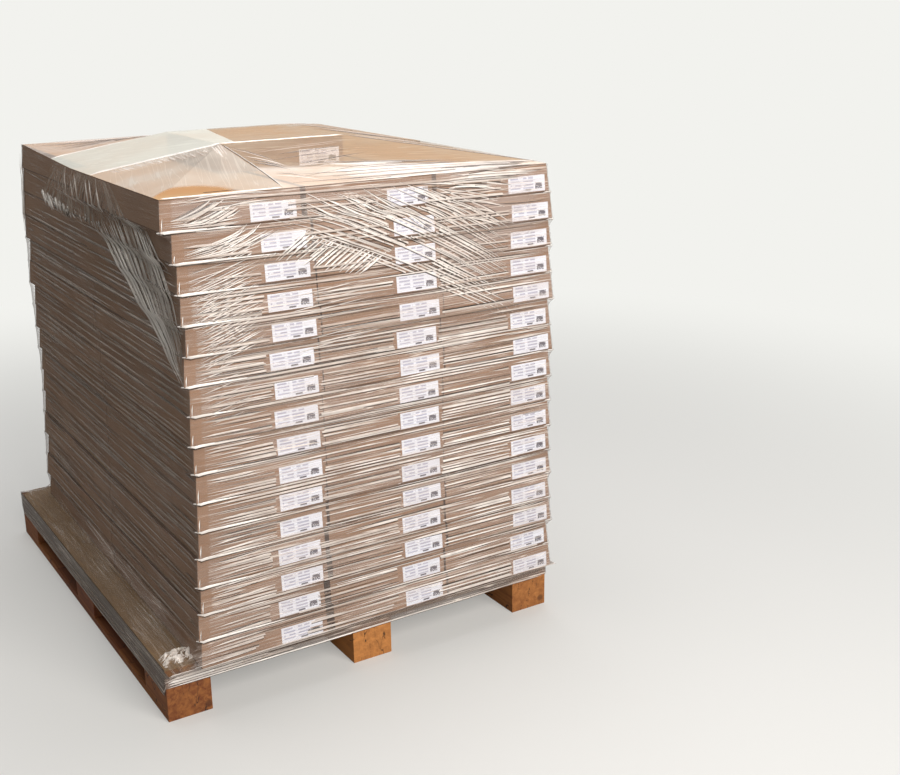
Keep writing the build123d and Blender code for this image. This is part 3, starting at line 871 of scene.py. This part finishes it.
foldBundle(front, "front", ((-0.385, 0.900), (-0.375, 0.740)), ((-0.260, 0.985), (-0.270, 0.830)), 6, 0.0030, 0.75, 46, 0.0, 0.3, True)
foldBundle(front, "front", ((-0.236, 0.905), (-0.236, 0.780)), ((0.070, 0.925), (0.070, 0.800)), 12, 0.0034, 0.8, 47, 0.0, 0.3, True)
foldsPiece("frontFilmCreases", front)

def hangingFilm():
    # the ply over the top hangs down the left side and is drawn to the tip on the front corner
    parts = {
        "upper": [((0.110, 1.1195), (0.335, 1.030), (0.300, 1.004)), ((-0.050, 1.1195), (0.060, 1.040), (0.075, 0.994)),
                  ((-0.190, 1.1195), (-0.150, 1.060), (-0.170, 1.008))],
        "strip": [((-0.190, 1.1195), (-0.170, 1.008), (-0.298, 0.905), (-0.450, 0.850), (-0.628, 0.756)),
                  ((-0.260, 1.1195), (-0.320, 1.020), (-0.420, 0.925), (-0.520, 0.850), (-0.629, 0.756)),
                  ((-0.335, 1.1195), (-0.486, 1.039), (-0.585, 0.942), (-0.618, 0.835), (-0.631, 0.757))],
    }
    material = newMaterial("stretchFilmHanging")  # pleated film seen edge on: a pale brown veil, denser where pleats meet
    uv = addNode(material, "ShaderNodeUVMap", {"uv_map": "UVMap"}).outputs[0]
    split = addNode(material, "ShaderNodeSeparateXYZ", inputs={0: uv})
    pleat = cloudNoise(material, uv, (26, 1.6), 5.2, 2.0)
    edge = calc(material, "MULTIPLY", ramp(material, split.outputs[1], 1.0, 0.93), ramp(material, calc(material, "PINGPONG", split.outputs[0], 0.5), 0.0, 0.05))
    alpha = calc(material, "MULTIPLY", ramp(material, pleat, 0.42, 0.68, 0.04, 0.40), mixValue(material, edge, 0.45, 1.0))
    filmShader(material, mixColour(material, pleat, linearColour("#98826f"), linearColour("#fbeedf")), alpha, 0.3)
    for name, curves in parts.items():
        share = np.linspace(0, 1, 44)
        lines = []
        for curve in curves:
            curve = np.array(curve)
            reach = np.concatenate([[0], np.cumsum(np.hypot(*np.diff(curve, axis=0).T))])
            lines.append(np.column_stack([np.interp(share * reach[-1], reach, curve[:, axis]) for axis in (0, 1)]))
        across = np.linspace(0, 1, 40)
        points, uv = np.zeros((44, 40, 3)), np.zeros((44, 40, 2))
        for index, part in enumerate(across):
            line = blend(lines[0], lines[1], part * 2) if part < 0.5 else blend(lines[1], lines[2], part * 2 - 1)
            path, out = onSides(roundPlace("left", line[:, 0]), np.minimum(line[:, 1], stackTop - 0.0004))
            lift = 0.0010 + 0.0022 * np.abs(gridNoise(np.full(44, part * 18), share * 2.0, 31.0)) * np.sin(np.pi * np.clip(share * 1.1, 0, 1)) ** 0.5
            points[:, index] = path + out * lift[:, None]
            uv[:, index] = np.column_stack([np.full(44, part), share])
        piece = gridMesh("hangingFilm_" + name, points, uv, material=material)
        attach(piece, "root")


hangingFilm()

left = newFolds()
levelFolds(left, "left", 0.015, 0.36, 51, 0.03, 0.86, 0.0)
jointFolds(left, "left", 0.40, 52)
# a strip drawn from the top edge down to the tip at the middle of the front left corner
foldBundle(left, "left", ((-0.200, 1.029), (-0.138, 1.005)), ((-0.625, 0.757), (-0.628, 0.754)), 6, 0.0110, 0.90, 61, -0.004, 0.03, stray=0.4)
foldBundle(left, "left", ((-0.336, 1.060), (-0.200, 1.029)), ((-0.612, 0.775), (-0.622, 0.757)), 8, 0.0095, 0.85, 62, 0.006, 0.10, stray=0.5)
foldBundle(left, "left", ((-0.470, 1.060), (-0.350, 1.090)), ((-0.632, 0.850), (-0.615, 0.775)), 8, 0.0090, 0.80, 63, 0.010, 0.12, stray=0.5)
foldBundle(left, "left", ((-0.480, 1.040), (-0.470, 1.055)), ((-0.600, 0.960), (-0.590, 0.975)), 3, 0.0046, 0.75, 64, 0.004, 0.1)
foldBundle(left, "left", ((0.110, 1.116), (-0.420, 1.116)), ((0.130, 1.035), (-0.330, 1.010)), 22, 0.0046, 0.55, 65, 0.0, 0.3)
# its ragged upper hem, bunched up
foldBundle(left, "left", ((0.340, 1.030), (0.080, 1.020)), ((0.300, 1.000), (0.060, 0.990)), 20, 0.0110, 1.0, 66, 0.004, 0.3)
foldBundle(left, "left", ((0.100, 1.010), (-0.170, 1.018)), ((0.060, 0.992), (-0.190, 0.996)), 16, 0.0060, 0.85, 67, 0.004, 0.3)
foldBundle(left, "left", ((0.335, 1.022), (0.330, 1.012)), ((0.235, 1.004), (0.230, 0.996)), 3, 0.0065, 0.95, 68, 0.0, 0.1)
# and the film that hangs over the rear corner
foldBundle(left, "left", ((0.535, 1.112), (0.565, 1.112)), ((0.535, 0.850), (0.560, 0.860)), 6, 0.0050, 0.9, 69, 0.0, 0.15)
foldsPiece("leftFilmCreases", left)

glints = newFolds()  # painted highlights: the brightest pleats of the hanging strip and its hem
foldBundle(glints, "left", ((-0.320, 1.040), (-0.155, 1.004)), ((-0.616, 0.780), (-0.628, 0.755)), 6, 0.0075, 1.0, 53, 0.0, 0.03, stray=0.3)
foldBundle(glints, "left", ((-0.480, 1.040), (-0.400, 1.055)), ((-0.610, 0.930), (-0.596, 0.900)), 4, 0.0070, 1.0, 54, 0.004, 0.15, stray=0.5)
foldBundle(glints, "left", ((0.335, 1.026), (0.235, 1.014)), ((0.285, 0.998), (0.200, 0.994)), 8, 0.0100, 1.0, 55, 0.003, 0.2)
foldBundle(glints, "left", ((0.000, 1.112), (-0.250, 1.112)), ((-0.020, 1.030), (-0.290, 1.040)), 6, 0.0060, 0.8, 56, 0.0, 0.2)
foldBundle(glints, "left", ((0.545, 1.112), (0.562, 1.112)), ((0.540, 0.880), (0.556, 0.880)), 3, 0.0060, 0.9, 57, 0.0, 0.15, stray=0.4)
glints["uvs"] = [np.maximum(uv, (0, 0.6)) for uv in glints["uvs"]]  # painted as lit on both flanks, with no painted shade
glints["vertices"] = [place - (0.0036, 0, 0) for place in glints["vertices"]]  # on the outside of the hanging film
foldsPiece("leftFilmGlints", glints)

right = newFolds()
levelFolds(right, "right", 0.016, 0.7, 71, 0.0, 0.80)
jointFolds(right, "right", 0.8, 72)
foldBundle(right, "right", ((-0.600, 1.100), (-0.300, 1.112)), ((0.300, 0.900), (0.540, 0.960)), 24, 0.0036, 0.7, 73, 0.01)
foldBundle(right, "right", ((-0.600, 0.930), (-0.560, 1.000)), ((-0.100, 1.112), (0.200, 1.112)), 16, 0.0034, 0.6, 74)
foldsPiece("rightFilmCreases", right)

back = newFolds()
levelFolds(back, "back", 0.016, 0.7, 81, 0.0, 0.80)
jointFolds(back, "back", 0.8, 82)
foldBundle(back, "back", ((0.470, 1.100), (0.250, 1.112)), ((-0.250, 0.900), (-0.400, 0.960)), 22, 0.0036, 0.7, 83, 0.01)
foldBundle(back, "back", ((0.470, 0.930), (0.440, 1.000)), ((0.100, 1.112), (-0.150, 1.112)), 14, 0.0034, 0.6, 84)
foldsPiece("backFilmCreases", back)


# ---- film over the top: drawn taut over the loose carton, so it is flat between its folds

rim = layerWall(layerCount - 1, 1.0)
looseLow, looseHigh = looseBox


def leftRim(y):
    return (float(sideX(y, rim, 0, 4)), y)


topPlaces = {  # plan place and share of the loose carton's height
    "frontLeft": (rim[0], rim[2], 0), "frontFold": (-0.183, rim[2], 0), "frontRight": (rim[1], rim[2], 0),
    "right": (float(sideX(-0.046, rim, 1, 5)), -0.046, 0), "backRight": (rim[5], rim[3], 0), "backLeft": (rim[4], rim[3], 0),
    "leftFold": leftRim(-0.198) + (0,), "left": leftRim(-0.046) + (0,), "rearFold": leftRim(0.162) + (0,),
    "rearFoldEnd": (-0.068, 0.504, 0),
    "nearLeft": (looseLow[0], looseLow[1], 1), "nearRight": (looseHigh[0], looseLow[1], 1),
    "farLeft": (looseLow[0], looseHigh[1], 1), "farRight": (looseHigh[0], looseHigh[1], 1),
    "plyNear": (-0.160, looseLow[1], 1), "plyFar": (-0.098, looseHigh[1], 1),
}
topParts = {  # which places each flat part of the film spans, by kind of film
    "milkyPly": (("nearLeft", "farLeft", "leftFold"), ("leftFold", "farLeft", "left"), ("left", "farLeft", "rearFold"),
                 ("rearFold", "farLeft", "rearFoldEnd"), ("farLeft", "plyFar", "rearFoldEnd"),
                 ("nearLeft", "plyNear", "plyFar"), ("nearLeft", "plyFar", "farLeft")),
    "foreFilm": (("frontLeft", "nearLeft", "leftFold"), ("frontLeft", "frontFold", "nearLeft")),
    "clearFilm": (("frontFold", "nearRight", "nearLeft"), ("frontFold", "frontRight", "nearRight"),
                  ("frontRight", "right", "nearRight"), ("right", "farRight", "nearRight"), ("right", "backRight", "farRight"),
                  ("plyNear", "nearRight", "farRight"), ("plyNear", "farRight", "plyFar")),
    "rearFilm": (("backRight", "rearFoldEnd", "farRight"), ("farRight", "rearFoldEnd", "plyFar"),
                 ("rearFold", "rearFoldEnd", "backLeft"), ("rearFoldEnd", "backRight", "backLeft")),
}


def topFilmMaterial(name, haze, lineAlpha, colour, angle, hole=None, whiteEdge=False):
    material = newMaterial(name)
    uv = addNode(material, "ShaderNodeUVMap", {"uv_map": "UVMap"}).outputs[0]
    parts = addNode(material, "ShaderNodeSeparateXYZ", inputs={0: uv})
    lines, folds = pullLines(material, uv, angle, 3.0, 70.0, 2.2, 0.03)
    patches = ramp(material, cloudNoise(material, uv, (6, 6), 3.3), 0.35, 0.65)
    alpha = calc(material, "MULTIPLY_ADD", lines, lineAlpha, mixValue(material, patches, haze[0], haze[1]))
    if hole:  # a spot that the film leaves bare: middle x, y and half widths
        dx = calc(material, "DIVIDE", calc(material, "SUBTRACT", parts.outputs[0], hole[0]), hole[2])
        dy = calc(material, "DIVIDE", calc(material, "SUBTRACT", parts.outputs[1], hole[1]), hole[3])
        away = calc(material, "SQRT", calc(material, "ADD", calc(material, "MULTIPLY", dx, dx), calc(material, "MULTIPLY", dy, dy)))
        alpha = calc(material, "MULTIPLY", alpha, ramp(material, away, 0.85, 1.15))
    if whiteEdge:  # many plies gathered along the front edge
        line = calc(material, "MULTIPLY_ADD", parts.outputs[0], -0.17, -0.535)
        gathered = ramp(material, calc(material, "SUBTRACT", parts.outputs[1], line), 0.012, -0.02)
        alpha = calc(material, "MAXIMUM", alpha, calc(material, "MULTIPLY", gathered, mixValue(material, patches, 0.55, 0.85)))
    tint = mixColour(material, gathered, linearColour(colour), linearColour("#f1e6da")) if whiteEdge else linearColour(colour)
    bump = addNode(material, "ShaderNodeBump", inputs={"Strength": 0.5, "Distance": 0.001, "Height": folds})
    return filmShader(material, tint, alpha, 0.40, bump.outputs[0], 0.12)  # slack creased plies scatter more than they mirror


topKinds = {
    "milkyPly": topFilmMaterial("stretchFilmMilky", (0.82, 0.90), 0.10, "#e0e0d4", 58),  # several plies: greenish grey, hides the lids
    "foreFilm": topFilmMaterial("stretchFilmDrawn", (0.60, 0.80), 0.14, "#d2c9bc", -74, (-0.372, -0.640, 0.095, 0.062)),
    "clearFilm": topFilmMaterial("stretchFilmSingle", (0.44, 0.62), 0.24, "#b8a58e", 8, whiteEdge=True),
    "rearFilm": topFilmMaterial("stretchFilmRear", (0.42, 0.58), 0.30, "#d6cac0", 40),
}


def topLift(x, y):
    wave = gridNoise(x * 7, y * 7, 4.0) * 0.5 + 0.5
    streak = gridNoise((x + y * 0.8) * 4, (x * 0.8 - y) * 60, 7.0)
    inside = np.minimum(np.minimum(x - sideX(y, rim, 0, 4), rim[1] - x), np.minimum(y - rim[2], rim[3] - y))
    return np.clip(inside / 0.02, 0, 1) * (0.0008 + 0.0006 * wave + 0.0004 * (streak + 1))  # close to the lids at the rim


def topPoint(name):
    x, y, share = topPlaces[name]
    rise = looseHigh[2] - stackTop
    return np.array([x, y, stackTop + 0.0002 + share * (rise + 0.0006)])


def topHeight(x, y):
    # height of the film over the top at plan places
    height = np.full(len(x), stackTop + 0.001)
    for parts in topParts.values():
        for names in parts:
            a, b, c = [topPoint(name) for name in names]
            area = (b[0] - a[0]) * (c[1] - a[1]) - (c[0] - a[0]) * (b[1] - a[1])
            s = ((x - a[0]) * (c[1] - a[1]) - (c[0] - a[0]) * (y - a[1])) / area
            t = ((b[0] - a[0]) * (y - a[1]) - (x - a[0]) * (b[1] - a[1])) / area
            inside = (s >= -1e-6) & (t >= -1e-6) & (s + t <= 1 + 1e-6)
            height[inside] = (a[2] + s * (b[2] - a[2]) + t * (c[2] - a[2]))[inside]
    return height + topLift(x, y)


def topFilm():
    vertices, faces, uvs, kinds = [], [], [], []
    cuts = 26
    for kind, (name, parts) in enumerate(topParts.items()):
        for names in parts:
            a, b, c = [topPoint(place) for place in names]
            if np.cross(b - a, c - a)[2] < 0:
                b, c = c, b
            start = len(vertices)
            index = {}
            for i in range(cuts + 1):
                for j in range(cuts + 1 - i):
                    point = a + (b - a) * i / cuts + (c - a) * j / cuts
                    index[i, j] = len(vertices)
                    vertices.append((point[0], point[1], point[2] + float(topLift(point[0], point[1]))))
            for i in range(cuts):
                for j in range(cuts - i):
                    faces.append((index[i, j], index[i + 1, j], index[i, j + 1]))
                    if i + j < cuts - 1:
                        faces.append((index[i + 1, j], index[i + 1, j + 1], index[i, j + 1]))
            kinds += [kind] * (len(faces) - len(kinds))
    mesh = bpy.data.meshes.new("topFilmDrawnOver")
    mesh.from_pydata(vertices, [], faces)
    layer = mesh.uv_layers.new(name="UVMap")
    layer.data.foreach_set("uv", np.array([vertices[corner][:2] for face in faces for corner in face], dtype=np.float32).reshape(-1))
    for name in topParts:
        mesh.materials.append(topKinds[name])
    mesh.polygons.foreach_set("material_index", np.array(kinds, dtype=np.int32))
    mesh.polygons.foreach_set("use_smooth", np.ones(len(faces), dtype=bool))
    piece = bpy.data.objects.new("topFilmDrawnOver", mesh)
    bpy.context.collection.objects.link(piece)
    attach(piece, "root")
    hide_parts("top_film")
    print("top film", len(faces), "faces")


topFilm()


def topFold(folds, start, end, width, tone, bend=0.0, taper=0.15, flip=False):
    start, end = np.array(start, dtype=float), np.array(end, dtype=float)
    reach = np.hypot(*(end - start))
    share = np.linspace(0, 1, max(6, int(reach / 0.008)))
    line = start + (end - start) * share[:, None]
    sideways = np.array([start[1] - end[1], end[0] - start[0]]) / (reach + 1e-9)
    line += sideways * (bend * 4 * share * (1 - share))[:, None]
    path = np.column_stack([line, topHeight(line[:, 0], line[:, 1]) + 0.0006])
    out = np.tile([0.0, -0.35, 0.94], (len(path), 1))
    addFold(folds, path, out, width, tone, taper, None, flip)


def topBundle(folds, starts, ends, count, width, tone, seed, bend=0.0, trim=0.3):
    random = np.random.default_rng(seed)
    starts, ends = np.array(starts), np.array(ends)
    for index in range(count):
        part = np.clip((index + random.uniform(-0.45, 0.45)) / max(count - 1, 1), 0, 1)
        first, last = blend(starts[0], starts[1], part), blend(ends[0], ends[1], part)
        topFold(folds, blend(first, last, random.uniform(0, trim)), blend(first, last, 1 - random.uniform(0, trim)),
                width * random.uniform(0.6, 1.35), tone * random.uniform(0.5, 1.0), bend, 0.3, random.random() < 0.5)


top = newFolds()
plan = {name: place[:2] for name, place in topPlaces.items()}
topFold(top, plan["leftFold"], plan["nearLeft"], 0.0075, 1.0, 0.0, 0.04, True)      # front edge of the milky ply
topFold(top, plan["nearLeft"], plan["nearRight"], 0.0045, 1.0, 0.0, 0.05, True)
topFold(top, plan["rearFold"], plan["rearFoldEnd"], 0.0075, 1.0, 0.0, 0.1, True)   # and its rear edge
topFold(top, plan["nearLeft"], plan["frontFold"], 0.0055, 1.0, 0.004, 0.1)
topFold(top, plan["nearRight"], (rim[1] - 0.004, rim[2] + 0.004), 0.0045, 0.95, 0.0, 0.1)
topFold(top, (rim[0] + 0.004, rim[2] + 0.002), (-0.183, rim[2] + 0.003), 0.0045, 1.0, 0.0, 0.03, True)
pleats = newFolds()
topBundle(pleats, (blend(np.array(plan["leftFold"]), np.array(plan["nearLeft"]), 0.12), plan["nearLeft"]),
          ((-0.405, -0.300), (-0.215, -0.455)), 30, 0.0055, 0.85, 91, 0.0, 0.35)
# painted as lit on both flanks: painted highlights on the pleats, with no painted shade
pleats["uvs"] = [np.maximum(uv, (0, 0.6)) for uv in pleats["uvs"]]
foldsPiece("topFilmPleats", pleats)
topBundle(top, ((-0.190, -0.370), (-0.190, -0.560)), ((-0.120, -0.500), (-0.080, -0.620)), 8, 0.0045, 0.9, 92, 0.006)
topBundle(top, ((-0.170, -0.632), (-0.120, -0.500)), ((0.470, -0.638), (0.240, -0.560)), 26, 0.0060, 1.0, 93, 0.0, 0.4)
topBundle(top, ((0.100, -0.632), (0.200, -0.585)), ((0.480, -0.640), (0.470, -0.615)), 22, 0.0075, 1.0, 94, 0.0, 0.4)
topBundle(top, ((-0.395, 0.220), (-0.395, 0.530)), ((-0.140, 0.505), (0.050, 0.540)), 14, 0.0055, 0.50, 95, 0.0, 0.2)
topBundle(top, ((0.110, -0.300), (0.110, 0.050)), ((0.470, -0.420), (0.470, -0.060)), 9, 0.0040, 0.5, 96, 0.0, 0.4)
topBundle(top, ((0.120, 0.050), (0.000, 0.500)), ((0.470, 0.100), (0.460, 0.520)), 8, 0.0040, 0.45, 97, 0.0, 0.4)
topBundle(top, ((-0.150, -0.400), (-0.170, -0.600)), ((0.090, -0.380), (0.150, -0.520)), 8, 0.0034, 0.6, 98, 0.0, 0.4)
foldsPiece("topFilmCreases", top)

# ---- hem of the film round the deck, and the crumple where it passes the front left corner

hem = newFolds()
hemFront = sheetBox[0][1] - 0.0020
for height, tone, reach in ((0.0815, 1.0, 0.99), (0.0875, 0.75, 0.30), (0.0935, 0.95, 0.24), (0.0995, 0.7, 0.45), (0.1060, 0.9, 0.22)):
    for first, last, part in ((0.005, reach * 0.5, 1.0), (reach * 0.4, reach * 0.85, 0.8), (reach * 0.7, reach, 0.55)):
        across = np.linspace(blend(sheetBox[0][0], sheetBox[1][0], first), blend(sheetBox[0][0], sheetBox[1][0], last), 40)
        drop = height + 0.0012 * gridNoise(across * 8, np.full_like(across, height * 500), 3.0)
        path = np.column_stack([across, np.full_like(across, hemFront), drop])
        addFold(hem, path, np.tile([0.0, -1.0, 0.0], (40, 1)), 0.0075 if height > 0.082 else 0.0050, tone * part, 0.1)
for side, x in ((-1, sheetBox[0][0] - 0.0020), (1, sheetBox[1][0] + 0.0020)):
    deep = np.linspace(sheetBox[0][1] + 0.05, sheetBox[1][1] - 0.05, 60)
    for height, tone in ((0.0665, 0.45), (0.078, 0.25), (0.092, 0.2)):
        path = np.column_stack([np.full_like(deep, x), deep, height + 0.0015 * gridNoise(deep * 8, np.full_like(deep, 2.0), 6.0)])
        addFold(hem, path, np.tile([side, 0.0, 0.0], (60, 1)).astype(float), 0.0050, tone, 0.1, flip=side < 0)
foldsPiece("hemFilmCreases", hem)


def cornerCrumple():
    # loose end of the film, screwed up on the sheet where it passes the front left corner
    count = 40
    a, b = np.meshgrid(np.linspace(0, 1, count), np.linspace(0, 1, count))
    left, front = sheetBox[0][0] + 0.004, sheetBox[0][1] + 0.006
    x = left + 0.078 * a
    y = front + 0.052 * b + 0.010 * a
    lump = np.sin(np.pi * a) ** 0.7 * np.sin(np.pi * b) ** 0.7
    crease = 1 - np.abs(gridNoise(a * 6 + b * 3, b * 7 - a * 2, 21.0))
    z = stackFloor + 0.001 + lump * (0.004 + 0.016 * crease ** 2)
    points = np.stack([x, y, z], axis=2)
    material = newMaterial("stretchFilmScrewedUp")  # glossy clear film with hard creases: painted glints on the crests, brown between
    uv = addNode(material, "ShaderNodeUVMap", {"uv_map": "UVMap"}).outputs[0]
    crest = addNode(material, "ShaderNodeSeparateXYZ", inputs={0: uv}).outputs[1]
    colour = mixColour(material, ramp(material, crest, 0.62, 0.92), linearColour("#a58e79"), linearColour("#fffaf2"))
    filmShader(material, colour, ramp(material, crest, 0.60, 0.95, 0.18, 0.62), 0.12)
    piece = gridMesh("cornerFilmScrewedUp", points, np.stack([a, crease], axis=2), material=material)
    piece.data.polygons.foreach_set("use_smooth", np.zeros(len(piece.data.polygons), dtype=bool))
    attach(piece, "root")


def crumpleFolds():
    # the hard folds of that loose end: short arches that cross each other
    folds = newFolds()
    random = np.random.default_rng(101)
    left, front = sheetBox[0][0], sheetBox[0][1]
    for index in range(11):
        start = np.array([left + random.uniform(0.006, 0.060), front + random.uniform(0.006, 0.034)])
        turn = random.uniform(0.3, 1.3)
        end = start + random.uniform(0.018, 0.038) * np.array([np.cos(turn), np.sin(turn)])
        share = np.linspace(0, 1, 12)
        line = start + (end - start) * share[:, None]
        rise = 0.004 + random.uniform(0.003, 0.012) * np.sin(np.pi * share) ** 0.7 + 0.0012 * gridNoise(share * 5, np.full(12, index * 1.7), 9.0)
        path = np.column_stack([line, stackFloor + rise])
        addFold(folds, path, np.tile([-0.2, -0.7, 0.68], (12, 1)), random.uniform(0.004, 0.009), random.uniform(0.7, 1.0), 0.3)
    folds["uvs"] = [np.maximum(uv, (0, 0.6)) for uv in folds["uvs"]]  # painted as lit on both flanks: no painted shade on these
    foldsPiece("cornerFilmFolds", folds)


cornerCrumple()
crumpleFolds()
